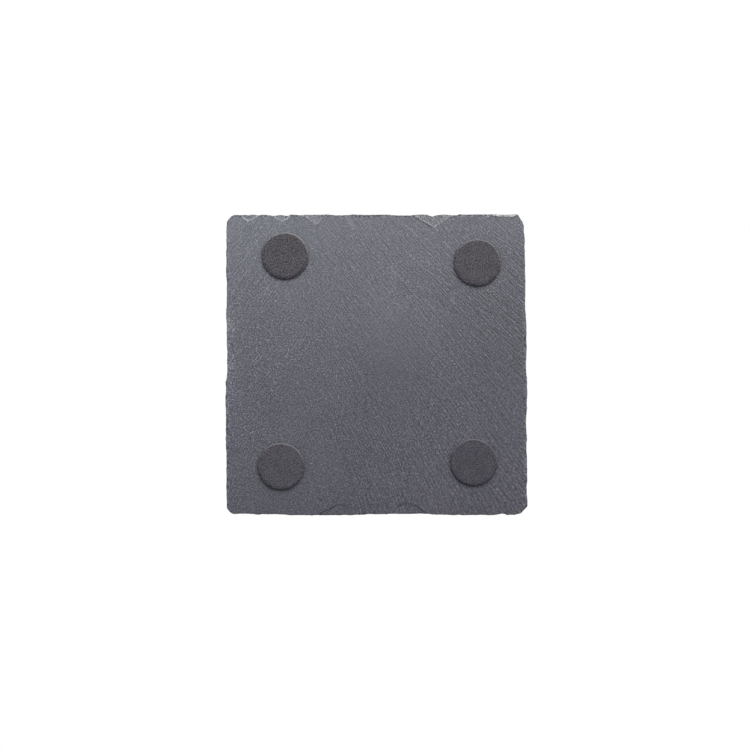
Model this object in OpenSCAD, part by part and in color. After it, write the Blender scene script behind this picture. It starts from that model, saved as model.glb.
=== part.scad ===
// Square slate coaster: a cleft slate tile with a hand-dressed edge, standing on
// four round foam feet that are stuck to its underside.
// The origin is at the middle of the base, +Z points up through the top face
// and the front side is at -Y.

/* [Slate tile] */
// Width of the tile from side to side
slate_w = 100; // [88:0.1:120]
// Depth of the tile from front to back
slate_d = 99.7; // [88:0.1:120]
// Thickness of the tile
slate_t = 5; // [4:0.1:7]
// Furthest that a side strays inwards from a true square
edge_stray = 1.2; // [0:0.05:2]
// Depth of the fine nicks along the rim
nick_depth = 0.15; // [0:0.01:0.3]
// Length of one nick along the rim
nick_pitch = 2.2; // [1.5:0.1:6]

/* [Clipped corners] */
// Longest run of a clipped corner along a side
clip_run = 3.9; // [2:0.1:6]

/* [Dressed edge] */
// Length of rim from one flake to the next
flake_pitch = 6.2; // [5:0.1:12]
// Furthest that a flake reaches in over the top face
flake_reach = 4.8; // [2:0.1:7]
// Wall left standing under the deepest flake
edge_land = 0.8; // [0.4:0.05:1.5]
// Radius of the largest hollow that a flake leaves
flake_r = 11; // [8:0.5:16]
// Reach of the flake that takes the top off a corner
corner_reach = 6.5; // [3:0.1:9]

/* [Cleavage leaves] */
// Thickness of a leaf of stone that has split off the top face
leaf_t = 0.35; // [0.1:0.05:0.8]
// Furthest that a split leaf reaches in over the top face
leaf_reach = 8.5; // [5:0.1:12]
// Radius of the rim that the largest leaf leaves
leaf_r = 17; // [12:0.5:25]

/* [Rim scars underneath] */
// Length of the largest scar along the rim
scar_w = 13.6; // [8:0.1:16]
// Furthest that a scar reaches in over the underside
scar_reach = 4.2; // [2:0.1:6]
// Depth of the largest scar
scar_depth = 0.7; // [0.2:0.05:1.5]

/* [Foam feet] */
// Diameter of a foot
foot_d = 15.5; // [10:0.1:20]
// Thickness of a foot
foot_t = 1.5; // [1.2:0.1:4]
// Radius of the rim that meets the table
foot_rim_r = 0.6; // [0.2:0.05:0.75]
// How far the cut wall of a foot draws in at its middle
foot_waist = 0.1; // [0.05:0.05:0.3]
// Distance from a side of the tile to where a foot is aimed
foot_inset = 17; // [12:0.5:24]
// Furthest that a foot is stuck off its aim, each way
foot_stray = 3.1; // [0:0.1:4]

/* [Adhesive discs] */
// Thickness of the double-sided film that holds a foot
film_t = 0.15; // [0.1:0.01:0.3]
// How far the film stays inside the rim of its foot
film_inset = 0.2; // [0.05:0.05:0.5]

/* [Hidden] */

slate_colour = "#62626b";
foam_colour = "#4d4c52";
film_colour = "#b9b4a6";

film_base_z = foot_t;
slate_base_z = film_base_z + film_t;
slate_top_z = slate_base_z + slate_t;

// Cuts run this far past the face that they open
overrun = 0.5;
disc_fn = 96;
hollow_fn = 64;
arc_steps = 6;

// Side 0 is the front, then counterclockwise seen from above: right, back, left.
// Corner i is where side i starts. A row gives the clip's run along the side
// before the corner, its run along the side after it, and how round it is.
clip_shares = [
    [0.67, 0.74, 0.37],
    [0.85, 1.00, 0.20],
    [0.76, 0.59, 0.00],
    [0.69, 0.63, 0.40]
];

// How each side strays: how far along the side between its two clips, and the
// share of edge_stray that it lies inwards there.
stray_shares = [
    [
        [0, 0.14], [0.04, 0.17], [0.05, 0.3], [0.065, 0.06], [0.085, 0.33], [0.105, 0.1],
        [0.14, 0.45], [0.16, 0.2], [0.19, 0.45], [0.2, 0.06], [0.23, 0.28], [0.25, 0.1],
        [0.33, 0.08], [0.36, 0.33], [0.39, 0.3], [0.42, 0.1], [0.5, 0.15], [0.53, 0.12],
        [0.62, 0.34], [0.645, 0.08], [0.68, 0.06], [0.7, 0.64], [0.72, 0.2], [0.74, 0.08],
        [0.785, 0.33], [0.795, 0], [0.89, 0.08], [0.92, 0.02], [0.985, 0], [1, 0]
    ],
    [
        [0, 0.97], [0.02, 0.97], [0.05, 0.7], [0.1, 0.72], [0.135, 0.6], [0.2, 0.53],
        [0.3, 0.53], [0.33, 0.36], [0.36, 0.25], [0.43, 0.17], [0.46, 0.3], [0.53, 0.28],
        [0.545, 0.06], [0.6, 0], [0.63, 0.17], [0.65, 0.1], [0.68, 0.3], [0.74, 0.25],
        [0.76, 0.1], [0.8, 0.28], [0.82, 0.1], [0.875, 0.06], [0.91, 0], [0.93, 0.23],
        [0.98, 0], [1, 0]
    ],
    [
        [0, 0.5], [0.02, 0.17], [0.045, 0.03], [0.055, 0.31], [0.065, 0.47], [0.075, 0.28],
        [0.085, 0.14], [0.105, 0], [0.2, 0], [0.235, 0.03], [0.3, 0.18], [0.35, 0.45],
        [0.39, 0.33], [0.47, 0.32], [0.55, 0.18], [0.59, 0], [0.8, 0], [0.84, 0.23],
        [0.88, 0.28], [0.915, 0.17], [0.935, 0.33], [1, 0.33]
    ],
    [
        [0, 0.36], [0.04, 0.3], [0.075, 0.19], [0.085, 0.31], [0.125, 0.23], [0.17, 0.28],
        [0.2, 0.28], [0.22, 0.1], [0.23, 0.25], [0.24, 0.03], [0.3, 0.08], [0.315, 0.17],
        [0.36, 0.03], [0.39, 0], [0.41, 0.17], [0.44, 0.03], [0.45, 0.3], [0.465, 0.45],
        [0.52, 0.45], [0.58, 0.35], [0.62, 0.33], [0.66, 0.22], [0.685, 0.17], [0.735, 0.33],
        [0.77, 0.33], [0.81, 0.23], [0.83, 0.14], [0.85, 0.23], [0.885, 0.17], [0.925, 0.28],
        [0.97, 0.25], [1, 0.42]
    ]
];

// Scars in the underside's rim: the side, how far along the whole side, then the
// shares of scar_w, of scar_reach and of scar_depth.
scar_shares = [
    [0, 0.08, 0.46, 0.52, 0.60],
    [0, 0.135, 0.30, 0.32, 0.30],
    [0, 0.19, 0.48, 0.55, 0.60],
    [0, 0.285, 0.65, 0.75, 0.70],
    [0, 0.685, 1.00, 1.00, 1.00],
    [0, 0.87, 0.30, 0.24, 0.30],
    [0, 0.93, 0.60, 0.22, 0.50],
    [3, 0.62, 0.40, 0.45, 0.40],
    [1, 0.42, 0.35, 0.25, 0.35]
];

// Leaves split off the top face: the side, how far along the whole side, then the
// shares of leaf_reach and of leaf_r.
leaf_shares = [
    [0, 0.24, 1.00, 0.85],
    [1, 0.63, 0.82, 0.70],
    [2, 0.37, 0.90, 1.00],
    [3, 0.15, 0.85, 0.60]
];

// Where each foot is stuck, from its aim: shares of foot_stray along X and Y.
// The signs say which way its corner lies.
foot_signs = [[-1, -1], [1, -1], [1, 1], [-1, 1]];
foot_stray_shares = [[0.91, -1], [0.1, -0.27], [-0.28, -0.19], [0.48, 0.24]];

// The rolls that vary the flakes and nicks, each the same in every build
function roll(seed) = rands(0, 1, 1, seed)[0];
flake_vary_share = 0.42;
hollow_vary_share = 0.3;
drop_vary_share = 0.35;
place_vary_share = 0.3;

function mix(a, b, share) = a + (b - a) * share;
function side_len(i) = i % 2 == 0 ? slate_w : slate_d;
function turned(i, p) = i == 0 ? p : i == 1 ? [-p[1], p[0]] : i == 2 ? -p : [p[1], -p[0]];
function on_rim(i, along, inset) =
    turned(i, [along - side_len(i) / 2, inset - side_len(i + 1) / 2]);

function clip_before(i) = clip_run * clip_shares[i % 4][0];
function clip_after(i) = clip_run * clip_shares[i % 4][1];
function clear_len(i) = side_len(i) - clip_after(i) - clip_before(i + 1);
function rim_inset(i, along) =
    edge_stray * lookup((along - clip_after(i)) / clear_len(i), stray_shares[i]);

// Points of one side: its stations, with nicks on the stretches between them
function nick_count(gap_share, i) = max(1, round(gap_share * clear_len(i) / nick_pitch));
function side_points(i) = [
    for (row = [0 : len(stray_shares[i]) - 2])
        let (here = stray_shares[i][row], next = stray_shares[i][row + 1])
        let (count = nick_count(next[0] - here[0], i))
        for (step = [0 : count - 1])
            let (share = step / count, nick = step == 0 ? 0 : roll(97 * i + 13 * row + step))
            on_rim(
                i,
                clip_after(i) + clear_len(i) * mix(here[0], next[0], share),
                edge_stray * mix(here[1], next[1], share) + nick_depth * nick
            ),
    side_end(i)
];
function side_start(i) = on_rim(i, clip_after(i), edge_stray * stray_shares[i][0][1]);
function side_end(i) =
    let (last = stray_shares[i][len(stray_shares[i]) - 1])
    on_rim(i, clip_after(i) + clear_len(i), edge_stray * last[1]);

// Points of one clipped corner, a curve from the side before to the side after
function square_corner(i) =
    let (before = side_end((i + 3) % 4), after = side_start(i))
    i % 2 == 0 ? [before[0], after[1]] : [after[0], before[1]];
function corner_points(i) =
    let (before = side_end((i + 3) % 4), after = side_start(i))
    let (pull = mix((before + after) / 2, square_corner(i), clip_shares[i][2]))
    [
        for (step = [1 : arc_steps - 1])
            let (t = step / arc_steps)
            mix(mix(before, pull, t), mix(pull, after, t), t)
    ];
rim_points = [for (i = [0 : 3]) each concat(corner_points(i), side_points(i))];

// Stands its children on the rim of a side, with local +Y pointing inwards
module on_side(i, along) {
    rotate([0, 0, 90 * i])
        translate([along - side_len(i) / 2, rim_inset(i, along) - side_len(i + 1) / 2, 0])
            children();
}

// Stands its children on the middle of a clipped corner, with +Y pointing inwards
module on_corner(i) {
    rotate([0, 0, 90 * i])
        translate([(clip_after(i) - side_len(i)) / 2, (clip_before(i) - side_len(i + 1)) / 2, 0])
            rotate([0, 0, -45])
                children();
}

// The hollow that one blow leaves: a ball through the top face, reach inside the
// rim, and through the wall, drop below the top face
module flake(reach, drop, hollow_r) {
    chord = norm([reach, drop]);
    stand_off = sqrt(hollow_r * hollow_r - chord * chord / 4);
    outwards = stand_off * drop / chord - reach / 2;
    upwards = stand_off * reach / chord - drop / 2;
    translate([0, -outwards, slate_top_z + upwards])
        sphere(hollow_r, $fn = hollow_fn);
}

module side_flakes(i) {
    count = round(side_len(i) / flake_pitch);
    for (n = [0 : count - 1]) {
        seed = 50 * i + 7 * n;
        along = side_len(i) * (n + 0.5 + place_vary_share * (roll(seed) - 0.5)) / count;
        reach = flake_reach * (1 - flake_vary_share * roll(seed + 1));
        drop = (slate_t - edge_land) * (1 - drop_vary_share * roll(seed + 2));
        hollow_r = flake_r * (1 - hollow_vary_share * roll(seed + 3));
        on_side(i, along)
            flake(reach, drop, hollow_r);
    }
}

// A leaf of stone split off the top face along the cleavage
module leaf(reach, rim_r) {
    translate([0, reach - rim_r, slate_top_z - leaf_t])
        cylinder(r = rim_r, h = leaf_t + overrun, $fn = disc_fn);
}

// A shallow scar in the underside: a ball that cuts a low arch into the rim
module scar(width, reach, depth) {
    arch_r = (width * width / 4 + reach * reach) / (2 * reach);
    ball_r = (arch_r * arch_r + depth * depth) / (2 * depth);
    translate([0, reach - arch_r, slate_base_z + depth - ball_r])
        sphere(ball_r, $fn = hollow_fn * 2);
}

module slate() {
    color(slate_colour)
        difference() {
            translate([0, 0, slate_base_z])
                linear_extrude(slate_t)
                    polygon(rim_points);
            for (i = [0 : 3]) {
                side_flakes(i);
                on_corner(i)
                    flake(corner_reach, slate_t - edge_land, flake_r);
            }
            for (row = leaf_shares)
                on_side(row[0], side_len(row[0]) * row[1])
                    leaf(leaf_reach * row[2], leaf_r * row[3]);
            for (row = scar_shares)
                on_side(row[0], side_len(row[0]) * row[1])
                    scar(scar_w * row[2], scar_reach * row[3], scar_depth * row[4]);
        }
}

function foot_place(i) = [
    foot_signs[i][0] * (slate_w / 2 - foot_inset) + foot_stray * foot_stray_shares[i][0],
    foot_signs[i][1] * (slate_d / 2 - foot_inset) + foot_stray * foot_stray_shares[i][1]
];

// Half section of a foot: flat under, round at the table rim, drawn in at the
// middle of its wall and sharp where the film holds it
foot_wall_t = foot_t - foot_rim_r;
foot_section = [
    [0, 0],
    for (step = [0 : arc_steps])
        let (turn = 90 * step / arc_steps)
        [foot_d / 2 - foot_rim_r * (1 - sin(turn)), foot_rim_r * (1 - cos(turn))],
    for (step = [1 : arc_steps])
        let (share = step / arc_steps)
        [foot_d / 2 - foot_waist * sin(180 * share), foot_rim_r + foot_wall_t * share],
    [0, foot_t]
];

module foam_foot(i) {
    color(foam_colour)
        translate(foot_place(i))
            rotate_extrude($fn = disc_fn)
                polygon(foot_section);
}

module adhesive_disc(i) {
    color(film_colour)
        translate([foot_place(i)[0], foot_place(i)[1], film_base_z])
            cylinder(d = foot_d - 2 * film_inset, h = film_t, $fn = disc_fn);
}

slate();
foam_foot(0);  // foot_front_left
foam_foot(1);  // foot_front_right
foam_foot(2);  // foot_back_right
foam_foot(3);  // foot_back_left
adhesive_disc(0);  // adhesive_front_left
adhesive_disc(1);  // adhesive_front_right
adhesive_disc(2);  // adhesive_back_right
adhesive_disc(3);  // adhesive_back_left
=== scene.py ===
import math
import random

import bpy
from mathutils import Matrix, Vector, noise
from mathutils.bvhtree import BVHTree
from mathutils.geometry import delaunay_2d_cdt
from mathutils.kdtree import KDTree


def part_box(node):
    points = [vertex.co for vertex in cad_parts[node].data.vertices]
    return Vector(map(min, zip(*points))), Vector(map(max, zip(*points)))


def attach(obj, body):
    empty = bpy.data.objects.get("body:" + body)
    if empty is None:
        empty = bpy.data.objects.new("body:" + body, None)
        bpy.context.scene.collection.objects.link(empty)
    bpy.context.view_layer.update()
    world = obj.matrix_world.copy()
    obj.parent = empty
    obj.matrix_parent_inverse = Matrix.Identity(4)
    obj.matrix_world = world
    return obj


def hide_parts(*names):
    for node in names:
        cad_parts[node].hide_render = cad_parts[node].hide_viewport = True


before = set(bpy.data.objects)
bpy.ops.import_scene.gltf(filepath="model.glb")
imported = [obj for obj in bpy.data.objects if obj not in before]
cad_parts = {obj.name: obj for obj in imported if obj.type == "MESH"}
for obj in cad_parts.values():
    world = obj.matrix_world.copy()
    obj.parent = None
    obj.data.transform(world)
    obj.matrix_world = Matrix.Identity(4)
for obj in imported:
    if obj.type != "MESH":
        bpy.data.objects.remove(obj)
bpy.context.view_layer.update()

mm = 0.001  # meshes are worked out in millimetres and made in metres
white = (1, 1, 1, 1)
sharpFrom = math.radians(50)  # edges that turn more than this stay sharp
print("frame loaded with", len(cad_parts), "nodes")


def mix(a, b, share):
    return a + (b - a) * share


def fade(value, start, end):  # 0 before start, 1 after end, smooth between
    share = min(1, max(0, (value - start) / (end - start)))
    return share * share * (3 - 2 * share)


def wander(x, y, z, size):  # smooth noise from -1 to 1 with bumps of about this size
    return noise.noise(Vector((x, y, z)) / size)


def swells(x, y, kinds, start=0):  # sum of smooth noises: share, level in the noise and bump size
    return sum((share * wander(x, y, level, size) for share, level, size in kinds), start)


def treeOf(points):  # finds the nearest of these points, seen from above
    tree = KDTree(len(points))
    for i, p in enumerate(points):
        tree.insert((p.x, p.y, 0), i)
    tree.balance()
    return tree


class Wire:  # a node's output that sums can use as if it were a number
    def __init__(self, paint, socket):
        self.paint = paint
        self.socket = socket

    def other(self, name):
        return Wire(self.paint, self.socket.node.outputs[name])

    def __add__(self, value):
        return self.paint.math("ADD", self, value)

    def __sub__(self, value):
        return self.paint.math("SUBTRACT", self, value)

    def __rsub__(self, value):
        return self.paint.math("SUBTRACT", value, self)

    def __mul__(self, value):
        return self.paint.math("MULTIPLY", self, value)

    def __truediv__(self, value):
        return self.paint.math("DIVIDE", self, value)

    def __rtruediv__(self, value):
        return self.paint.math("DIVIDE", value, self)

    __radd__ = __add__
    __rmul__ = __mul__


class Paint:  # a node tree and the ways to add to it
    def __init__(self, tree):
        self.nodes = tree.nodes
        self.links = tree.links
        self.nodes.clear()

    def node(self, kind, settings=None, sockets=None, out=0):
        made = self.nodes.new(kind)
        for name, value in (settings or {}).items():
            setattr(made, name, value)
        for name, value in (sockets or {}).items():
            if isinstance(value, Wire):
                self.links.new(value.socket, made.inputs[name])
            else:
                made.inputs[name].default_value = value
        return Wire(self, made.outputs[out]) if len(made.outputs) else made

    def math(self, operation, *values):
        return self.node("ShaderNodeMath", {"operation": operation}, dict(enumerate(values)))

    def absolute(self, value):
        return self.math("ABSOLUTE", value)

    def fade(self, value, start, end):  # 0 at start, 1 at end, smooth between
        settings = {"interpolation_type": "SMOOTHSTEP"}
        sockets = {"Value": value, "From Min": start, "From Max": end}
        return self.node("ShaderNodeMapRange", settings, sockets)

    def blend(self, share, first, second, way="MIX"):  # 6, 7 and 2 are a Mix node's colours
        settings = {"data_type": "RGBA", "blend_type": way}
        return self.node("ShaderNodeMix", settings, {0: share, 6: first, 7: second}, out=2)

    def tinted(self, colour, red, green, blue):
        return self.blend(1, colour, self.joined(red, green, blue), "MULTIPLY")

    def place(self):  # where on the piece, in millimetres
        spot = self.node("ShaderNodeTexCoord", out="Object")
        sockets = {"Vector": spot, "Scale": 1 / mm}
        return self.node("ShaderNodeVectorMath", {"operation": "SCALE"}, sockets)

    def axes(self, vector):
        x = self.node("ShaderNodeSeparateXYZ", None, {"Vector": vector}, out="X")
        return x, x.other("Y"), x.other("Z")

    def joined(self, x, y, z):
        return self.node("ShaderNodeCombineXYZ", None, {"X": x, "Y": y, "Z": z})

    def grain(self, vector, size, detail=2, roughness=0.5):  # noise round 0, about -0.5 to 0.5
        sockets = {"Vector": vector, "Scale": 1 / size, "Detail": detail, "Roughness": roughness}
        return self.node("ShaderNodeTexNoise", None, sockets) - 0.5

    def layers(self, across, along, sizes):  # sum of flat noises without broad blotches
        total = 0
        for wide, long, weight in sizes:
            spot = self.joined(across / wide, along / long, 0)
            sockets = {"Vector": spot, "Scale": 1, "Detail": 0}
            made = self.node("ShaderNodeTexNoise", {"noise_dimensions": "2D"}, sockets)
            total = (made - 0.5) * weight + total
        return total

    def hatched(self, across, along, lines, patch):  # two sets of lines, each in its own patches
        wide, long, shift = 1.7, 9, 50  # how the lines wander, and what sets the two sets apart
        total = 0
        for n, (spacing, stray, weight) in enumerate(lines):
            bent = self.layers(across + shift * n, along, ((wide, long, stray),))
            wave = self.math("SINE", across * (2 * math.pi / spacing) + bent)
            here = self.fade(patch, -0.25, 0.25) if n else self.fade(patch, 0.25, -0.25)
            total = wave * here * weight + total
        return total

    def cells(self, vector, size):  # distance to the nearest cell's middle, as a share of the size
        sockets = {"Vector": vector, "Scale": 1 / size}
        return self.node("ShaderNodeTexVoronoi", {"feature": "F1"}, sockets)

    def chance(self, cells):  # a number from 0 to 1 that each cell has to itself
        return self.node("ShaderNodeSeparateColor", None, {"Color": cells.other("Color")})

    def spots(self, x, y, spots):  # sum of soft round spots: middle, reach and share
        total = 0
        for middle, reach, share in spots:
            aside = self.joined((x - middle[0]) / reach[0], (y - middle[1]) / reach[1], 0)
            gap = self.node("ShaderNodeVectorMath", {"operation": "LENGTH"}, {0: aside}, out="Value")
            total = self.fade(gap, 1, 0) * share + total
        return total

    def meshShare(self, name):  # a share kept on the mesh's vertices
        return self.node("ShaderNodeAttribute", {"attribute_name": name}, out="Fac")

    def finish(self, colour, roughness, height, fixed):  # height in millimetres
        bump = self.node("ShaderNodeBump", None, {"Height": height, "Distance": mm, "Strength": 1})
        sockets = {"Base Color": colour, "Roughness": roughness, "Normal": bump}
        shader = self.node("ShaderNodeBsdfPrincipled", None, {**sockets, **fixed})
        self.node("ShaderNodeOutputMaterial", None, {"Surface": shader})


def newMaterial(name):
    material = bpy.data.materials.new(name)
    material.use_nodes = True
    return material, Paint(material.node_tree)


def makePiece(name, points, faces, material, replaced):
    mesh = bpy.data.meshes.new(name)
    mesh.from_pydata([p * mm for p in points], [], faces)
    mesh.materials.append(material)
    piece = bpy.data.objects.new(name, mesh)
    bpy.context.collection.objects.link(piece)
    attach(piece, "root")
    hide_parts(replaced)
    return piece


def keepShares(piece, shares):  # for the materials to read as vertex shares
    for name, values in shares.items():
        piece.data.attributes.new(name, "FLOAT", "POINT").data.foreach_set("value", values)


def smoothOut(piece):
    piece.data.shade_smooth()
    piece.data.set_sharp_from_angle(angle=sharpFrom)


shot = {
    "lens": 85,
    "sensor": 36,
    "wide": 248.3,  # millimetres across the whole frame, at the slate's underside
    "centre": (-0.47, 3.4, 1.65),  # what the middle of the frame looks at
}
lamps = {
    "keyBelow": {"at": (40, -175, -300), "aim": (0, 0, 2), "wide": 420, "high": 270, "watts": 1.25},
    "keyAbove": {"at": (-260, -330, 420), "aim": (0, 0, 5), "wide": 380, "high": 380, "watts": 2.2},
    "fillAbove": {"at": (360, 120, 300), "aim": (0, 0, 5), "wide": 300, "high": 300, "watts": 0.7},
}
studio = {
    "fill": 0.195,  # how strongly the white room lights the object
    "floor": (0.88, 0.88, 0.88, 1),
    "floorReach": 3000,
    "whiteFrom": 100,  # the floor turns to the room's white over this stretch
    "whiteTo": 330,
}


def setCamera():
    camera = bpy.data.objects.new("camera", bpy.data.cameras.new("camera"))
    camera.data.lens = shot["lens"]
    camera.data.sensor_width = shot["sensor"]
    away = shot["wide"] * shot["lens"] / shot["sensor"]
    camera.location = (Vector(shot["centre"]) - Vector((0, 0, away))) * mm
    camera.rotation_euler = (math.pi, 0, 0)  # looks up at the underside, front edge at the top
    bpy.context.collection.objects.link(camera)
    bpy.context.scene.camera = camera


def hangLamps():
    for name, kind in lamps.items():
        lamp = bpy.data.objects.new(name, bpy.data.lights.new(name, "AREA"))
        lamp.data.shape = "RECTANGLE"
        lamp.data.size = kind["wide"] * mm
        lamp.data.size_y = kind["high"] * mm
        lamp.data.energy = kind["watts"]
        lamp.location = Vector(kind["at"]) * mm
        look = Vector(kind["aim"]) - Vector(kind["at"])
        lamp.rotation_euler = look.to_track_quat("-Z", "Y").to_euler()
        lamp.visible_camera = False
        bpy.context.collection.objects.link(lamp)


def lightRoom():
    world = bpy.data.worlds.new("room")
    bpy.context.scene.world = world
    world.use_nodes = True
    paint = Paint(world.node_tree)
    path = paint.node("ShaderNodeLightPath", out="Is Camera Ray")
    seen = paint.math("MAXIMUM", path, path.other("Is Glossy Ray"))
    seen = paint.math("MAXIMUM", seen, path.other("Is Transmission Ray"))
    lit = paint.node("ShaderNodeBackground", None, {"Color": white, "Strength": studio["fill"]})
    shown = paint.node("ShaderNodeBackground", None, {"Color": white, "Strength": 1})
    both = paint.node("ShaderNodeMixShader", None, {0: seen, 1: lit, 2: shown})
    paint.node("ShaderNodeOutputWorld", None, {"Surface": both})


def layFloor():
    material, paint = newMaterial("paleFloor")
    x, y = paint.axes(paint.place())[:2]
    far = paint.math("SQRT", x * x + y * y)
    path = paint.node("ShaderNodeLightPath", out="Is Camera Ray")
    below = paint.node("ShaderNodeNewGeometry", out="Backfacing")
    matt = paint.node("ShaderNodeBsdfDiffuse", None, {"Color": studio["floor"]})
    glow = paint.node("ShaderNodeEmission", None, {"Color": white, "Strength": 1})
    distant = paint.fade(far, studio["whiteFrom"], studio["whiteTo"])
    top = paint.node("ShaderNodeMixShader", None, {0: distant, 1: matt, 2: glow})
    clear = paint.node("ShaderNodeBsdfTransparent")
    # seen from below, and to the lamps, the floor isn't there
    both = paint.node("ShaderNodeMixShader", None, {0: path * (1 - below), 1: clear, 2: top})
    paint.node("ShaderNodeOutputMaterial", None, {"Surface": both})
    reach = studio["floorReach"] * mm
    corners = [(-reach, -reach, 0), (reach, -reach, 0), (reach, reach, 0), (-reach, reach, 0)]
    mesh = bpy.data.meshes.new("floor")
    mesh.from_pydata(corners, [], [(0, 1, 2, 3)])
    mesh.materials.append(material)
    floor = bpy.data.objects.new("floor", mesh)
    bpy.context.collection.objects.link(floor)


bpy.context.scene.view_settings.view_transform = "Standard"
setCamera()
hangLamps()
lightRoom()
layFloor()
print("camera, lamps and floor set")


slate = {
    "rimStep": 0.3,  # spacing of the points round the outline
    "rays": 5000,  # rays that look for the outline
    "aside": 200,  # these rays start this far out
    "above": 50,  # rays that look for the top start this high
    "widestAt": (0.4, 0.75),  # heights above the underside where the outline may be widest
    "fine": 0.34,  # point spacing on broken stone and near the underside's rim
    "coarse": 0.7,  # point spacing on riven stone
    "jitter": 0.18,  # how far a point strays from the even grid, as a share of the spacing
    "gridReach": 52,  # the grid goes this far from the middle
    "rimFree": 0.2,  # the grid stays this far in from the rim
    "apart": 0.16,  # the grid's points stay this far from the rim's and the scars' own
    "underBand": 3.2,  # how far in from the rim the underside is fine
    "topBand": 1.6,  # and how far in the top is fine all round
    "dressedReach": 12,  # the dressed edge goes no further in than this
    "dressedDrop": (0.02, 0.45),  # from this far below the top the stone starts to be, and is, broken
    "wallRows": 9,
    "topInset": 0.12,  # the wall's top has the height of the stone this far in
    "ragged": 0.19,  # how far the outline and the wall wander
    "layer": 0.5,  # thickness of the layers that show in the dressed edge
    "layerPull": 0.75,  # how much a broken surface keeps to the layers
    "riven": 0.09,  # relief of the split faces
    "terrace": 0.036,  # height of the faint steps on the top face
    "restFree": (8.6, 11.6),  # the underside is flat this close to a foot's middle, and riven here
    "underShift": 200,  # the underside takes its relief from another stretch of the noise
    "deepest": 0.6,  # how far a scar may go into the underside
    "land": 0.8,  # the least wall that is left under the flakes
    "scarStep": 0.35,  # spacing of the points on a scar's edge
    "scarStray": 0.22,  # how far that edge wanders
    # sums of smooth noise: share, level in the noise and size of the bumps
    "relief": ((0.6, 2, 17), (0.3, 4, 6), (0.1, 6, 2)),
    "steps": ((3, 11, 26), (0.25, 5, 6), (0.08, 9, 1.4)),
    "bedding": ((0.35, 3, 9), (0.14, 7, 2.2), (0.05, 1, 0.7)),
    # the wall's own noise: share, how flat its layers are and size of the bumps
    "wall": ((0.6, 5, 1.6), (0.35, 2, 0.6)),
}
# Scars in the underside's rim. edge: inner edge from rim to rim; riser and wide: height and
# width of the step there; slope: how fast the floor drops away from it; pale: how fresh the
# stone is; ends: shares of the riser left at the edge's two ends; the two shares for the step's
# lip and crease: how pale the step is, fresh stone and partly a painted highlight, and how dark
# the line along it, a painted shade in the crease, on the edge's first half and on its second.
usualScar = {"ends": (1, 1), "lipHighlight": (0, 0), "creaseShade": (0, 0)}
scars = [
    {"edge": [(-45.0, -49.6), (-44.1, -48.4), (-42.5, -47.5), (-40.9, -47.9), (-38.7, -49.5)],
     "riser": 0.28, "wide": 0.25, "slope": 0.04, "pale": 0.05, "lipHighlight": (2.0, 1.9)},
    {"edge": [(-38.5, -49.8), (-36.9, -48.2), (-34.5, -50.1)],
     "riser": 0.2, "wide": 0.22, "slope": 0.06, "pale": 0.1, "lipHighlight": (1.4, 1.3)},
    {"edge": [(-34.5, -50.0), (-33.2, -48.5), (-31.3, -47.3), (-29.8, -48.0), (-27.6, -49.6)],
     "riser": 0.26, "wide": 0.25, "slope": 0.1, "pale": 0.25, "lipHighlight": (1.7, 1.8)},
    {"edge": [(-25.9, -50.0), (-23.3, -48.4), (-20.2, -46.3), (-18.5, -47.6), (-16.8, -49.9)],
     "riser": 0.14, "wide": 0.25, "slope": 0.18, "pale": 0.38, "ends": (1, 0.3), "lipHighlight": (1.3, 1.45),
     "creaseShade": (0.45, 0.1)},
    {"edge": [(11.3, -49.8), (15.3, -47.3), (19.2, -45.2), (22.3, -47.2), (25.5, -49.6)],
     "riser": 0.2, "wide": 0.28, "slope": 0.16, "pale": 0.5, "lipHighlight": (1.2, 1.1),
     "creaseShade": (1, 0.4)},
    {"edge": [(35.0, -49.8), (36.4, -48.5), (38.6, -49.8)],
     "riser": 0.2, "wide": 0.25, "slope": 0.16, "pale": 0.8, "lipHighlight": (1.0, 1.0)},
    # this thin lip goes near white: partly a painted highlight
    {"edge": [(37.6, -49.9), (38.8, -49.15), (41.5, -49.0), (44.5, -48.85), (46.1, -49.05),
              (47.4, -49.9)],
     "riser": 0.34, "wide": 0.16, "slope": 0.3, "pale": 1.85, "ends": (0.6, 1), "lipHighlight": (1.8, 1.7),
     "creaseShade": (1, 1)},
    {"edge": [(-49.9, -16.5), (-47.2, -14.6), (-46.2, -12.4), (-47.4, -10.8), (-49.9, -10.2)],
     "riser": 0.16, "wide": 0.3, "slope": 0.1, "pale": 0.5, "lipHighlight": (0.8, 0.5)},
    {"edge": [(-49.9, -7.6), (-48.0, -6.8), (-46.7, -2.0), (-47.2, 1.2), (-49.9, 2.6)],
     "riser": 0.12, "wide": 0.28, "slope": 0.06, "pale": 0.35, "ends": (1, 0.6), "lipHighlight": (0.5, 0.4),
     "creaseShade": (0.45, 0.1)},
    {"edge": [(-20.2, 50.2), (-18.0, 49.1), (-15.1, 47.6), (-12.0, 46.1), (-9.6, 47.2), (-8.6, 50.2)],
     "riser": 0.12, "wide": 0.14, "slope": 0, "pale": 0, "ends": (1, 0), "creaseShade": (1, 0.05)},
    {"edge": [(5.0, 50.2), (6.2, 47.3), (9.4, 45.7), (13.4, 46.9), (14.8, 48.0), (17.6, 50.2)],
     "riser": 0.12, "wide": 0.14, "slope": 0, "pale": 0, "ends": (0, 1), "creaseShade": (0.3, 0.9)},
]


def scaled(node):  # a node's faces as a tree for ray casts, in millimetres
    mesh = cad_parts[node].data
    points = [v.co / mm for v in mesh.vertices]
    return BVHTree.FromPolygons(points, [p.vertices for p in mesh.polygons])


def sizeOf(node):  # middle seen from above, radius, lowest and highest height, in millimetres
    low, high = [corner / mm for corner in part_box(node)]
    return ((low + high) / 2).xy, (high.x - low.x) / 2, low.z, high.z


stoneTree = scaled("slate")
underZ, topZ = sizeOf("slate")[2:]
footNodes = [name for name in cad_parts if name.startswith("foot_")]
footSpots = [sizeOf(name)[0] for name in footNodes]


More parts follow.
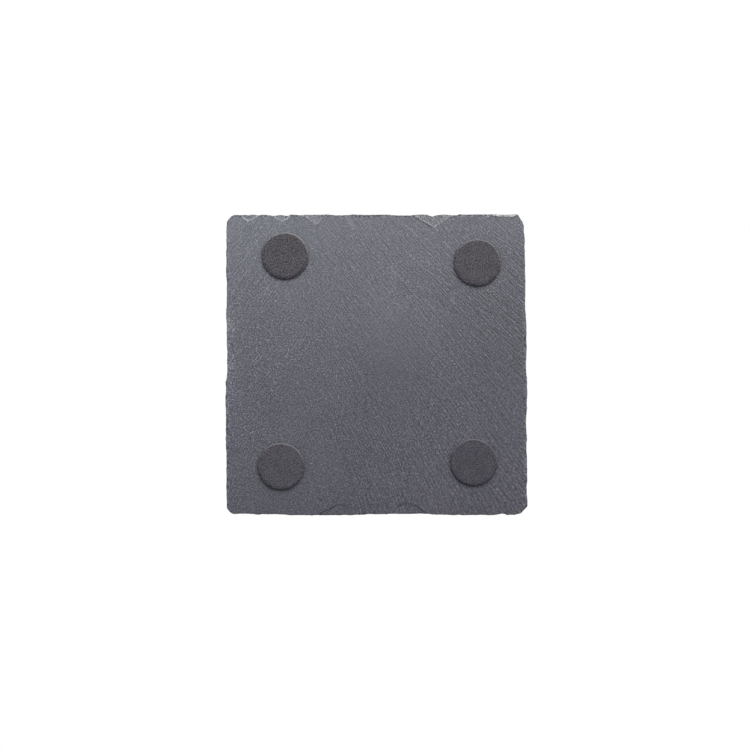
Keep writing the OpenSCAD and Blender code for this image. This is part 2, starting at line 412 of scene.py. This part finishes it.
def outlineRadius(angle, height):
    away = Vector((math.cos(angle), math.sin(angle), 0))
    hit = stoneTree.ray_cast(away * slate["aside"] + Vector((0, 0, height)), -away)[0]
    return hit.xy.length


def topHit(x, y):  # where a ray from above meets the stone
    return stoneTree.ray_cast(Vector((x, y, slate["above"])), Vector((0, 0, -1)))[0]


def traceOutline():  # even steps round the widest section, counterclockwise from above
    rays = slate["rays"]
    walk = []
    for i in range(rays):
        angle = 2 * math.pi * i / rays
        reach = max(outlineRadius(angle, underZ + height) for height in slate["widestAt"])
        walk.append(Vector((math.cos(angle), math.sin(angle))) * reach)
    spans = [(walk[(i + 1) % rays] - walk[i]).length for i in range(rays)]
    count = round(sum(spans) / slate["rimStep"])
    step = sum(spans) / count
    rim, gone, i = [], 0, 0
    for n in range(count):
        while gone + spans[i] < n * step:
            gone += spans[i]
            i += 1
        rim.append(walk[i].lerp(walk[(i + 1) % rays], (n * step - gone) / spans[i]))
    return rim


def outwardsFrom(i):  # the way out of the stone at this point of the outline
    beside = 3  # points on each side that give the outline's direction
    along = outline[(i + beside) % rimCount] - outline[i - beside]
    return Vector((along.y, -along.x)).normalized()


outline = traceOutline()
rimCount = len(outline)
outwards = [outwardsFrom(i) for i in range(rimCount)]
rimTree = treeOf(outline)


def rimGap(x, y):  # how far in from the outline, less than 0 outside it
    i, gap = rimTree.find((x, y, 0))[1:]
    inwards = (outline[i] - Vector((x, y))).dot(outwards[i])
    return gap if inwards > 0 else -gap


def wallPoint(i, z):  # the broken wall, layered along the cleavage
    x, y = outline[i]
    stray = sum(share * wander(x, y, z * flat, size) for share, flat, size in slate["wall"])
    arris = 0.5 * (1 - fade(z - underZ, 0, 0.2))  # stands back a little next to the underside
    p = outline[i] + outwards[i] * slate["ragged"] * (stray - arris)
    return Vector((p.x, p.y, z))


def layered(x, y, z):  # pulls a broken surface towards the levels of thin layers
    bed = swells(x, y, slate["bedding"], z)
    thick = slate["layer"] * (1 + 0.4 * wander(x, y, z, 6))
    level = bed / thick
    share = level - math.floor(level)
    return z + slate["layerPull"] * thick * (fade(share, 0.25, 0.75) - share)


def rivenRelief(x, y):  # about 0 to 1
    return 0.5 + 0.5 * swells(x, y, slate["relief"])


def topHeight(x, y):  # height, and how broken the stone is
    hit = topHit(x, y)
    cut = hit.z if hit else underZ + 1
    broken = fade(topZ - cut, *slate["dressedDrop"])
    step = swells(x, y, slate["steps"])
    whole = math.floor(step)
    down = slate["terrace"] * (whole % 3 + fade(step - whole, 0.93, 1))
    riven = cut - slate["riven"] * rivenRelief(x, y) - down
    rough = layered(x, y, cut) + 0.05 * wander(x, y, cut, 0.8)
    return min(topZ, max(underZ + slate["land"], mix(riven, rough, broken))), broken


def nearestOn(edge, p):  # distance to a broken line, and how far along it that is, 0 to 1
    best, share, gone = 1e9, 0, 0
    total = sum((b - a).length for a, b in zip(edge, edge[1:]))
    for a, b in zip(edge, edge[1:]):
        along = b - a
        t = min(1, max(0, (p - a).dot(along) / along.length_squared))
        gap = (p - a - along * t).length
        if gap < best:
            best, share = gap, (gone + t * along.length) / total
        gone += along.length
    return best, share


def isInside(shape, p):
    inside = False
    for a, b in zip(shape, shape[1:] + shape[:1]):
        if (a.y > p.y) != (b.y > p.y) and p.x < (b.x - a.x) * (p.y - a.y) / (b.y - a.y) + a.x:
            inside = not inside
    return inside


def resampled(edge, step):
    points = []
    for a, b in zip(edge, edge[1:]):
        count = max(1, round((b - a).length / step))
        points += [a.lerp(b, n / count) for n in range(count)]
    return points + [edge[-1]]


def pastRim(p, reach=4):  # straight out from this spot by the rim
    if abs(p.y) > abs(p.x):
        return Vector((0, math.copysign(reach, p.y)))
    return Vector((math.copysign(reach, p.x), 0))


def layScar(number, scar):  # its wandering edge, the shape that it encloses and that shape's box
    edge = [Vector(p) for p in scar["edge"]]
    size = 1.1  # of the bumps by which the edge wanders
    line = []
    for p in resampled(edge, slate["scarStep"]):
        stray = (wander(p.x, p.y, number + 40, size), wander(p.x, p.y, number + 70, size))
        line.append(p + slate["scarStray"] * Vector(stray))
    away = pastRim((edge[0] + edge[-1]) / 2)
    shape = line + [edge[-1] + away, edge[0] + away]
    low = Vector((min(p.x for p in shape), min(p.y for p in shape)))
    high = Vector((max(p.x for p in shape), max(p.y for p in shape)))
    return {**usualScar, **scar, "line": line, "shape": shape, "low": low, "high": high}


scars = [layScar(number, scar) for number, scar in enumerate(scars)]


def underHeight(x, y):  # height, how pale the stone is, fresh stone with a partly painted highlight on the steps' lips, and how dark a cleft is painted as shade
    p = Vector((x, y))
    near = min((p - spot).length for spot in footSpots)
    free = fade(near, *slate["restFree"])
    z = underZ + slate["riven"] * free * rivenRelief(x + slate["underShift"], y)
    pale, cleft = 0, 0
    for scar in scars:
        if not (scar["low"].x < x < scar["high"].x and scar["low"].y < y < scar["high"].y):
            continue
        gap, along = nearestOn(scar["line"], p)
        first, last = scar["ends"]
        left = mix(first, 1, fade(along, 0, 0.3)) * mix(last, 1, fade(1 - along, 0, 0.3))
        half = fade(along, 0.4, 0.6)
        # dark line along the edge: painted shade in the crease
        cleft = max(cleft, mix(*scar["creaseShade"], half) * (1 - fade(gap, 0.04, 0.2)))
        if gap > 0.01 and not isInside(scar["shape"], p):
            continue
        step = scar["riser"] * left * min(1, gap / scar["wide"])
        rough = 0.05 * wander(x, y, 30, 0.9) * fade(gap, 0.2, 0.6) * (scar["slope"] > 0)
        drop = scar["slope"] * max(0, gap - scar["wide"])
        z += step + min(drop, 0.12 + 0.6 * drop) + rough
        # pale lip along the step: fresh stone, partly a painted highlight where the riser faces the
        # light
        lip = mix(*scar["lipHighlight"], half) * (1 - fade(gap, scar["wide"], scar["wide"] + 0.25))
        pale = max(pale, scar["pale"] * fade(gap, 0, 0.15), lip * fade(gap, 0, 0.08))
    return min(z, underZ + slate["deepest"]), pale, cleft


def gridPoints(step, seed, keep):  # a triangular grid whose points stray a little
    dice = random.Random(seed)
    reach, jitter = slate["gridReach"], slate["jitter"]
    rowGap = 0.866  # between rows, as a share of the step
    found = []
    for row in range(int(2 * reach / (step * rowGap))):
        for column in range(int(2 * reach / step)):
            x = (column + row % 2 / 2) * step - reach
            y = row * step * rowGap - reach
            x += step * dice.uniform(-jitter, jitter)
            y += step * dice.uniform(-jitter, jitter)
            if keep(x, y):
                found.append(Vector((x, y)))
    return found


def triangulate(loop, lines, scattered):  # points, triangles and where the loop's points went
    points = list(loop)
    edges = []
    for line in lines:
        inside = [p for p in line if rimGap(p.x, p.y) > 0.25]
        for n, p in enumerate(inside):
            points.append(p)
            if n:
                edges.append((len(points) - 2, len(points) - 1))
    held = treeOf(points)
    points += [p for p in scattered if held.find((p.x, p.y, 0))[2] > slate["apart"]]
    kind, closest = 1, 1e-5  # only what is inside the loop, and the gap at which points are one
    result = delaunay_2d_cdt(points, edges, [list(range(len(loop)))], kind, closest, True)
    flat, faces, origins = result[0], result[2], result[3]
    onLoop = [any(source < len(loop) for source in sources) for sources in origins]

    def isKept(face):  # a triangle between points of the loop only can lie outside it
        middle = sum((flat[i] for i in face), Vector((0, 0))) / len(face)
        return not all(onLoop[i] for i in face) or isInside(loop, middle)

    faces = [face for face in faces if isKept(face)]
    ring = [None] * len(loop)
    for i, sources in enumerate(origins):
        for source in sources:
            if source < len(loop):
                ring[source] = i
    return flat, faces, ring


class Shell:  # the slate's mesh as it grows, with the shares that its finish reads
    def __init__(self):
        self.points, self.faces, self.parts = [], [], []
        self.shares = {"freshAndHighlight": [], "cleft": [], "arris": []}

    def point(self, spot, freshAndHighlight=0, cleft=0, arris=0):
        for name, value in (("freshAndHighlight", freshAndHighlight), ("cleft", cleft), ("arris", arris)):
            self.shares[name].append(value)
        self.points.append(spot)
        return len(self.points) - 1

    def face(self, corners, part):
        self.faces.append(tuple(corners))
        self.parts.append(part)


def makeUnderside(shell, rim):
    lines = []
    for scar in scars:
        line, wide = scar["line"], scar["wide"]
        beside = []  # the far side of the step
        for a, b in zip(line, line[1:]):
            side = Vector((a.y - b.y, b.x - a.x)).normalized() * wide
            middle = (a + b) / 2
            for p in (middle + side, middle - side):
                if isInside(scar["shape"], p) and nearestOn(line, p)[0] > 0.8 * wide:
                    beside.append(p)
        lines += [line, beside]
    free, band = slate["rimFree"], slate["underBand"]
    fine = gridPoints(slate["fine"], 3, lambda x, y: free < rimGap(x, y) < band)
    coarse = gridPoints(slate["coarse"], 5, lambda x, y: rimGap(x, y) > band + free)
    flat, faces, ring = triangulate([p.xy for p in rim], lines, fine + coarse)
    for p in flat:
        z, pale, dark = underHeight(p.x, p.y)
        shell.point(Vector((p.x, p.y, z)), pale, dark, 1 - fade(rimGap(p.x, p.y), 0, 0.5))
    for face in faces:
        shell.face(reversed(face), 0)
    print("underside:", len(flat), "points")
    return ring


def isDressed(x, y):  # whether the top is broken here, and needs fine points
    gap = rimGap(x, y)
    if gap < slate["rimFree"] or gap > slate["dressedReach"]:
        return False
    if gap < slate["topBand"]:
        return True
    reach = slate["fine"] * 1.5
    spots = [(x, y), (x + reach, y), (x - reach, y), (x, y + reach), (x, y - reach)]
    hits = [topHit(*spot) for spot in spots]
    return any(hit and hit.z < topZ - slate["dressedDrop"][0] for hit in hits)


def makeTop(shell, rim):
    fine = gridPoints(slate["fine"], 7, isDressed)
    held = treeOf(fine)

    def isPlain(x, y):
        return rimGap(x, y) > slate["topBand"] and held.find((x, y, 0))[2] > 0.5

    coarse = gridPoints(slate["coarse"], 9, isPlain)
    flat, faces, ring = triangulate([p.xy for p in rim], [], fine + coarse)
    start = len(shell.points)
    for p in flat:
        z, broken = topHeight(p.x, p.y)
        shell.point(Vector((p.x, p.y, z)), broken * 0.8)
    for face in faces:
        shell.face((start + i for i in face), 1)
    ring = [start + i for i in ring]
    for i, p in zip(ring, rim):
        shell.points[i].z = p.z
    print("top:", len(flat), "points")
    return ring


def makeWall(shell, underRing, topRing):
    ring = underRing
    for row in range(1, slate["wallRows"] + 1):
        above = []
        for i, (low, high) in enumerate(zip(underRing, topRing)):
            z = mix(shell.points[low].z, shell.points[high].z, row / slate["wallRows"])
            last = row == slate["wallRows"]
            above.append(high if last else shell.point(wallPoint(i, z), 0.8))
        for i in range(rimCount):
            j = (i + 1) % rimCount
            shell.face((ring[i], ring[j], above[j], above[i]), 2 + i * 4 // rimCount)
        ring = above


def layOut(mesh, parts):  # the bake's map: underside, top, and the wall in four strips
    half, wallTall = 50.6, 5.2  # millimetres from the middle to the map's edge, and up the wall
    border, faceStep, faceTall = 0.005, 0.445, 0.435  # shares of the map
    stripStart, stripStep, stripTall = 0.9, 0.024, 0.02
    uv = []
    wallStart = len(mesh.polygons) - slate["wallRows"] * rimCount
    for face in mesh.polygons:
        part = parts[face.index]
        column = (face.index - wallStart) % rimCount
        for corner, vertex in enumerate(face.vertices):
            p = mesh.vertices[vertex].co / mm
            if part < 2:
                across, up = (p.x + half) / (2 * half), (p.y + half) / (2 * half)
                uv += [border + 0.99 * across, border + part * faceStep + faceTall * up]
            else:
                strip = part - 2
                across = (column + (corner in (1, 2))) * 4 / rimCount - strip
                up = (p.z - underZ) / wallTall
                uv += [border + 0.985 * across, stripStart + strip * stripStep + stripTall * up]
    mesh.uv_layers.new(name="OFBake").uv.foreach_set("vector", uv)


def makeSlate(material):
    lowRim = [wallPoint(i, underZ) for i in range(rimCount)]
    highRim = []
    for i in range(rimCount):
        p = outline[i] - outwards[i] * slate["topInset"]
        highRim.append(wallPoint(i, topHeight(p.x, p.y)[0]))
    shell = Shell()
    underRing = makeUnderside(shell, lowRim)
    topRing = makeTop(shell, highRim)
    makeWall(shell, underRing, topRing)
    piece = makePiece("slate_tile", shell.points, shell.faces, material, "slate")
    keepShares(piece, shell.shares)
    layOut(piece.data, shell.parts)
    smoothOut(piece)
    print("slate:", len(shell.points), "points,", len(shell.faces), "faces")


stoneFinish = {
    "dark": (0.040, 0.040, 0.051, 1),
    "pale": (0.230, 0.235, 0.282, 1),
    "freshDark": (0.110, 0.111, 0.127, 1),
    "freshPale": (0.395, 0.402, 0.442, 1),
    "highlightPale": (0.80, 0.80, 0.81, 1),  # the thinnest broken lips, partly a painted highlight where they face the light
    "micaGlint": (0.43, 0.46, 0.53, 1),
    "underside": (3, 2),  # heights between which the underside's finish comes in
    # the streaks' direction right of the seam, and how it bends with x*x, x*y and y*y
    "way": (0.545, 0.839),
    "bend": (0.0022, 0.0018, -0.003),
    "twist": -0.007,
    "leftLean": math.radians(-55),  # streaks near the left side lean the other way
    "seam": (-38, -12),  # where the two kinds of streaks change over
    # layers of flat noise: size across the streaks, size along them and weight
    "right": ((0.3, 0.55, 0.72), (0.3, 2.1, 0.2), (0.8, 5.6, 0.08)),
    "left": ((0.3, 0.55, 0.8), (0.3, 2.1, 0.15)),
    "even": ((0.5, 0.5, 0.5), (1.6, 1.6, 0.1)),
    # cleavage lines: spacing, how far they stray and strength
    "rightLines": ((0.76, 8, 0.21), (0.96, 11, 0.14)),
    "leftLines": ((0.8, 9, 0.16), (1.1, 9, 0.08)),
    "speckWide": 0.45,  # spacing of the flecks across the streaks
    "speckLong": 0.9,
    "rareSpeck": (0.79, 0.93),  # up to the first share of the places there is no fleck
    "scratches": (((-10.2, -49.2), (-7.2, -44.4)), ((-9.3, -49.2), (-6.5, -44.8))),
    # spots where the grain is clearer and where the stone is paler: middle, reach and share
    "clearer": (((-17, 20), (24, 24), 0.22), ((-19, -8), (17, 28), 0.36),
                ((-30, -44), (38, 24), 0.4), ((6, 0), (16, 26), -0.42),
                ((28, 50), (34, 24), -0.35), ((46, 20), (24, 40), -0.3)),
    "paler": (((25, -38), (24, 22), -0.03), ((4, 14), (24, 24), -0.03),
              ((4, -20), (16, 12), 0.06), ((-20, 48), (36, 14), -0.02),
              ((30, 46), (20, 14), -0.015), ((-47, -46), (12, 12), 0.06),
              ((-25, 15), (24, 30), -0.025), ((-38, -4), (18, 26), -0.035),
              ((32, -19), (18, 14), -0.035)),
    # how much paler the underside is painted, partly its own tone and partly a painted light falloff
    # that darkens it towards the back, and the stretches over which that comes in
    "drifts": ((-0.05, ("x", -25, 0), ("y", -15, 5)),
               (-0.1, ("y", -48, 0)),
               (0.03, ("x+y", -55, -95)),
               (0.045, ("y", -36, -48)),
               (-0.06, ("x", 15, 40), ("y", -48, -34), ("y", 10, -10)),
               (-0.025, ("x", -46, -35), ("x", 10, -10), ("y", -5, 5)),
               (-0.028, ("y", -40, -18)),
               (-0.012, ("y", 38, 50)),
               (0.1, ("aside", 48.1, 49.3)),
               (0.05, ("y", -48.4, -49.4))),
}


def stoneWays(x, y):  # the streaks turn a little from corner to corner
    way, bend = stoneFinish["way"], stoneFinish["bend"]
    across = y * way[0] - x * way[1] + x * x * bend[0] + x * y * bend[1] + y * y * bend[2]
    along = x * way[0] + y * way[1] + x * y * stoneFinish["twist"]
    lean = stoneFinish["leftLean"]
    leftAcross = y * math.cos(lean) - x * math.sin(lean)
    leftAlong = x * math.cos(lean) + y * math.sin(lean)
    return (across, along), (leftAcross, leftAlong)


def specks(paint, across, along, z, reach):  # flecks of mica, drawn out along the streaks, their paleness partly a painted glint
    spot = paint.joined(across / stoneFinish["speckWide"], along / stoneFinish["speckLong"], z)
    cells = paint.cells(spot, 1)
    rare = paint.fade(paint.chance(cells), *stoneFinish["rareSpeck"])
    return (1 - paint.fade(cells, 0.1, reach)) * rare


def stoneGrain(paint, place, under):  # the streaks, 0 on the whole, and the flecks of mica, partly a painted glint
    x, y, z = paint.axes(place)
    (across, along), (leftAcross, leftAlong) = stoneWays(x, y)
    toRight = paint.fade(x - y * 0.2 + paint.grain(place, 34, 0) * 50, *stoneFinish["seam"])
    patch = paint.layers(x + z, y - z, ((3, 3, 1),))

    # right of the seam; the share of z keeps the grain from smearing down the wall
    wallAcross, wallAlong = across + z * 1.3, along + z * 0.7
    lines = paint.hatched(wallAcross, wallAlong, stoneFinish["rightLines"], patch)
    lines = lines * (0.62 + paint.fade(y, 5, -25) * 0.43) * (0.4 + paint.fade(x, -30, -5) * 0.6)
    lines = lines * (0.6 + under * 0.4) * (1 + paint.fade(x, 5, 25) * paint.fade(y, -30, 0) * 0.25)
    right = paint.layers(wallAcross, wallAlong, stoneFinish["right"]) + lines

    # left of it
    wallAcross, wallAlong = leftAcross + z, leftAlong - z
    lines = paint.hatched(wallAcross, wallAlong, stoneFinish["leftLines"], patch) * (0.4 + under * 0.6)
    lines = lines * (1 - paint.fade(y, 0, 25) * 0.7 + paint.fade(y, -12, -32) * 0.5)
    left = paint.layers(wallAcross, wallAlong, stoneFinish["left"]) + lines

    even = paint.layers(x + z * 0.8, y + z * 0.6, stoneFinish["even"])
    even = even * (1.3 - toRight * 0.3 - paint.fade(x, 10, 35) * 0.35)
    pattern = right * toRight + left * (1 - toRight) + even

    # clearer in front and in spots, calmer at the back left and on the broken wall
    clear = 1.09 + paint.fade(y, -10, -35) * (0.2 + toRight * 0.32) + paint.fade(x, -22, -40) * 0.12
    clear = clear + paint.spots(x, y, stoneFinish["clearer"])
    calm = paint.fade(x, -15, -32) * paint.fade(x, -49, -42) * paint.fade(y, 25, 42)
    wall = paint.meshShare("freshAndHighlight") * paint.fade(z, 2.2, 2.7)
    pattern = pattern * (clear - calm * 0.38) * (1 - wall * 0.65)
    pattern = pattern + paint.grain(place, 0.6, 3, 0.65) * wall * 0.55
    pattern = pattern * (0.95 + pattern * 0.9)  # fine bright lines on a plainer ground

    speck = specks(paint, across, along, z, 0.34) * toRight * (0.5 + paint.fade(y, -15, -35) * 0.6)
    leftSpeck = specks(paint, leftAcross, leftAlong, z, 0.42) * (1 - toRight)
    return pattern, speck + leftSpeck * (1.1 - paint.fade(y, 20, 42) * 0.7)


def toneAndFalloff(paint, x, y):  # how the underside's tone changes from place to place, partly a painted light falloff, darker towards the back
    ways = {"x": x, "y": y, "x+y": x + y, "aside": paint.absolute(x)}
    # darker towards the back: painted light falloff
    drift = x * y * 0.00002 - x * 0.001 - y * 0.0012
    for share, *stretches in stoneFinish["drifts"]:
        for way, start, end in stretches:
            share = paint.fade(ways[way], start, end) * share
        drift = drift + share
    return drift + paint.spots(x, y, stoneFinish["paler"])


def scratch(paint, x, y, start, end):  # a fine line on the underside
    line = Vector(end) - Vector(start)
    way = line.normalized()
    along = x * way.x + y * way.y - Vector(start).dot(way)
    beside = paint.absolute(x * way.y - y * way.x - (start[0] * way.y - start[1] * way.x))
    reach = paint.fade(along, 0, 0.5) * paint.fade(along, line.length, line.length - 1.5)
    return (1 - paint.fade(beside, 0.06, 0.2)) * reach


def paintSlate():
    material, paint = newMaterial("slateStone")
    place = paint.place()
    x, y, z = paint.axes(place)
    under = paint.fade(z, *stoneFinish["underside"])
    above = 1 - under
    front = paint.fade(y, -44, -49)
    pattern, speck = stoneGrain(paint, place, under)

    # broad mottling, pale flecks by the left side and chips along the rim
    mottle = paint.grain(place, 14, 3, 0.55) + paint.grain(place, 3.2, 2, 0.5) * 0.5
    byLeft = paint.fade(x, -43, -48.5) * paint.fade(paint.absolute(y + 4.7), 19, 12)
    fleck = paint.fade(paint.grain(place, 0.8, 3, 0.65), 0.02, 0.12) * byLeft * under
    rim = paint.fade(paint.absolute(x), 48.3, 49.3) * 0.85 + paint.fade(y, -48.3, -49.2)
    chips = paint.grain(place, 0.75, 2, 0.6) * rim * under

    # fresh stone shows its thin beds
    freshAndHighlight = paint.meshShare("freshAndHighlight") * (0.92 + paint.grain(place, 0.9, 3, 0.6) * 1.15) + fleck * 0.85
    beds = paint.grain(paint.joined(x / 6, y / 6, z / 0.22), 1, 2, 0.6) * freshAndHighlight
    tone = 0.5 + toneAndFalloff(paint, x, y) * under + pattern + beds * 0.8 + chips * 3.7
    tone = tone + mottle * (0.15 + above * 0.4)
    colour = paint.blend(tone, stoneFinish["dark"], stoneFinish["pale"])
    freshTone = tone * 1.35 + freshAndHighlight * 0.15 - 0.3
    broken = paint.blend(freshTone, stoneFinish["freshDark"], stoneFinish["freshPale"])
    colour = paint.blend(freshAndHighlight, colour, broken)
    # the palest lips go near white: partly a painted highlight
    colour = paint.blend(paint.fade(freshAndHighlight, 1.1, 2.4), colour, stoneFinish["highlightPale"])
    # mica flecks: paler and glossier, their paleness partly a painted glint
    colour = paint.blend(speck * 0.8, colour, stoneFinish["micaGlint"])
    for start, end in stoneFinish["scratches"]:
        share = scratch(paint, x, y, start, end) * under * 0.5
        colour = paint.blend(share, colour, stoneFinish["freshPale"])

    # painted shade darkens the clefts and the arris, the arris most towards the back and in broken
    # dashes along the front, and the stone's hue drifts a little
    cleft = paint.meshShare("cleft")
    # how strongly the arris is darkened: painted shade
    meshShare = 0.1 + paint.fade(y, 0, 45) * 0.32 + front * 0.24
    meshShare = meshShare + paint.grain(place, 1.1, 2) * (1.6 + front * 2.4)
    dim = (1 - cleft * 0.75) * (1 - paint.meshShare("arris") * meshShare)
    hue = paint.grain(place, 1.3, 3, 0.7) * (1 + paint.fade(y, 0, -40))
    redder = dim * (1.012 + x * 0.0002 + y * 0.0003 + hue * 0.06)
    bluer = dim * (1 + y * 0.0006 - hue * 0.05)
    colour = paint.tinted(colour, redder, dim, bluer)

    roughness = 0.62 - pattern * 0.25 - speck * 0.2 + freshAndHighlight * 0.08
    height = pattern * 0.085 + mottle * (0.03 + above * 0.25) + beds * 0.12 - cleft * 0.1
    paint.finish(colour, roughness, height, {"Specular IOR Level": 0.35})
    return material


makeSlate(paintSlate())


foot = {
    "sides": 144,
    "rimRound": 0.75,  # radius of the rim that meets the table
    "waist": 0.1,  # how far the cut wall draws in at its middle
    "stray": 0.035,  # how far the cut wanders
    "flatRings": (0.25, 0.5, 0.75, 0.92),  # points across the flat underside
    "roundSteps": 7,
    "dark": (0.020, 0.018, 0.023, 1),
    "pale": (0.150, 0.143, 0.160, 1),
    # colour of the pale rim: scuffing, and a painted highlight in front
    "scuffAndHighlight": (0.460, 0.445, 0.430, 1),
    # how pale and how blue each foot is, how strongly speckled, how scuffed its front rim is, that rim
    # partly a painted highlight, and how deep the painted shade along its back rim
    "foot_front_left": {"tone": 1.0, "blue": 1.0, "speckled": 3.2, "scuffedAndLit": 1.25, "backShadeDepth": 0.24},
    "foot_front_right": {"tone": 1.0, "blue": 1.0, "speckled": 2.6, "scuffedAndLit": 0.9, "backShadeDepth": 0.17},
    "foot_back_right": {"tone": 0.95, "blue": 1.09, "speckled": 2.3, "scuffedAndLit": 0.6, "backShadeDepth": 0.09},
    "foot_back_left": {"tone": 1.12, "blue": 1.05, "speckled": 2.3, "scuffedAndLit": 0.6, "backShadeDepth": 0.16},
}


def lathe(spot, section, sides, stray, seed):  # section: radius and height from the middle out
    strayFrom = 5  # rings closer in than this stay round
    points = [Vector((spot.x, spot.y, section[0][1]))]
    faces = []
    for radius, z in section[1:-1]:
        for k in range(sides):
            turn = 2 * math.pi * k / sides
            right, back = math.cos(turn), math.sin(turn)
            cut = stray * wander(8 * right, 8 * back, z + seed, 1.5) * (radius > strayFrom)
            wide = radius + cut
            points.append(Vector((spot.x + wide * right, spot.y + wide * back, z)))
    rows = len(section) - 2
    points.append(Vector((spot.x, spot.y, section[-1][1])))
    last = len(points) - 1
    for k in range(sides):
        j = (k + 1) % sides
        faces.append((0, 1 + j, 1 + k))
        for row in range(rows - 1):
            low, high = 1 + row * sides, 1 + (row + 1) * sides
            faces.append((low + k, low + j, high + j, high + k))
        low = 1 + (rows - 1) * sides
        faces.append((low + k, low + j, last))
    return points, faces


def footSection(radius, low, high):
    curve, steps = foot["rimRound"], foot["roundSteps"]
    section = [(0, low)] + [((radius - curve) * share, low) for share in foot["flatRings"]]
    for n in range(steps + 1):
        turn = math.pi / 2 * n / steps
        section.append((radius - curve * (1 - math.sin(turn)), low + curve * (1 - math.cos(turn))))
    for n in range(1, steps + 1):
        share = n / steps
        drawn = foot["waist"] * math.sin(math.pi * share)
        section.append((radius - drawn, mix(low + curve, high, share)))
    return section + [(radius * 0.6, high), (0, high)]


def paintFoam(name, tone, blue, speckled, scuffedAndLit, backShadeDepth):
    material, paint = newMaterial("foam_" + name)
    place = paint.place()
    grain = paint.grain(place, 0.4, 1, 0.7)
    cloud = paint.grain(place, 2.6, 2)
    pores = paint.cells(place, 0.75)
    deep = (1 - paint.fade(pores, 0.12, 0.3)) * paint.fade(paint.chance(pores), 0.35, 0.6)
    # the pale rim: a little scuffing all round and a painted highlight on the side facing the light
    scuffAndHighlight = paint.meshShare("scuffAndHighlight") * (0.75 + paint.grain(place, 0.6, 2))
    # the back rim darker and a little bluer: painted shade
    backShade = paint.meshShare("backShade")
    value = 0.5 + grain * speckled + cloud * 0.42 - deep * 0.3 - backShade * backShadeDepth
    colour = paint.blend(value, foot["dark"], foot["pale"])
    colour = paint.blend(scuffAndHighlight * 0.75 * scuffedAndLit, colour, foot["scuffAndHighlight"])
    colour = paint.tinted(colour, tone, tone, (1 + backShade * 0.08) * tone * blue)
    height = grain * 0.07 - deep * 0.06 + cloud * 0.03
    paint.finish(colour, 0.86 - grain * 0.15, height, {"Specular IOR Level": 0.25})
    return material


def footWear(points, spot, radius):  # a pale scuffed rim in front, partly a painted highlight, and a painted shade along the rim at the back
    scuffAndHighlight, backShade = [], []
    for p in points:
        away = p.xy - spot
        # strongest in front, the side that faces the light: partly a painted highlight
        front = fade(0.3 * away.x - away.y, -0.1 * radius, 0.95 * radius)
        band = fade(away.length, radius - 0.5, radius - 0.1) * (1 - fade(p.z, 0.55, 1.1))
        scuffAndHighlight.append(band * mix(0.08, 1, front))
        # painted shade along the rim on the side away from the light
        backShade.append(fade(away.length, radius - 1.5, radius - 0.5) * fade(away.y, 0, 0.8 * radius))
    return {"scuffAndHighlight": scuffAndHighlight, "backShade": backShade}


def makeFoot(name, seed):
    spot, radius, low, high = sizeOf(name)
    section = footSection(radius, low, high)
    points, faces = lathe(spot, section, foot["sides"], foot["stray"], seed)
    material = paintFoam(name, **foot[name])
    title = name.replace("foot_", "foam_foot_")
    piece = makePiece(title, points, faces, material, name)
    keepShares(piece, footWear(points, spot, radius))
    smoothOut(piece)


for seed, name in enumerate(footNodes):
    makeFoot(name, 10 * seed)
print("foam feet made")


film = {
    "sides": 128,
    "stray": 0.06,  # how far the cut wanders
    "rings": (0.4, 0.75, 0.93),  # points across the flat faces
    "bevel": (0.02, 0.03),  # how far the edge is broken, inwards and in height
    "colour": (0.62, 0.60, 0.53, 1),
    "edge": (0.46, 0.44, 0.38, 1),
}


def paintFilm():
    material, paint = newMaterial("adhesiveFilm")
    place = paint.place()
    cloud = paint.grain(place, 1.2, 3, 0.6)
    fibre = paint.grain(place, 0.15, 2, 0.7)
    colour = paint.blend(0.5 + cloud * 1.2 + fibre * 0.5, film["edge"], film["colour"])
    paint.finish(colour, 0.42 + cloud * 0.3, fibre * 0.02, {})
    return material


def makeFilm(name, material, seed):
    spot, radius, low, high = sizeOf(name)
    inwards, tall = film["bevel"]
    rings = [radius * share for share in film["rings"]]
    section = [(0, low)] + [(ring, low) for ring in rings]
    section += [(radius - inwards, low), (radius, low + tall)]
    section += [(radius, high - tall), (radius - inwards, high)]
    section += [(ring, high) for ring in reversed(rings)] + [(0, high)]
    points, faces = lathe(spot, section, film["sides"], film["stray"], seed)
    title = name.replace("adhesive_", "film_")
    piece = makePiece(title, points, faces, material, name)
    smoothOut(piece)


filmMaterial = paintFilm()
for seed, name in enumerate(footNodes):
    makeFilm(name.replace("foot_", "adhesive_"), filmMaterial, 10 * seed + 5)
print("adhesive films made")
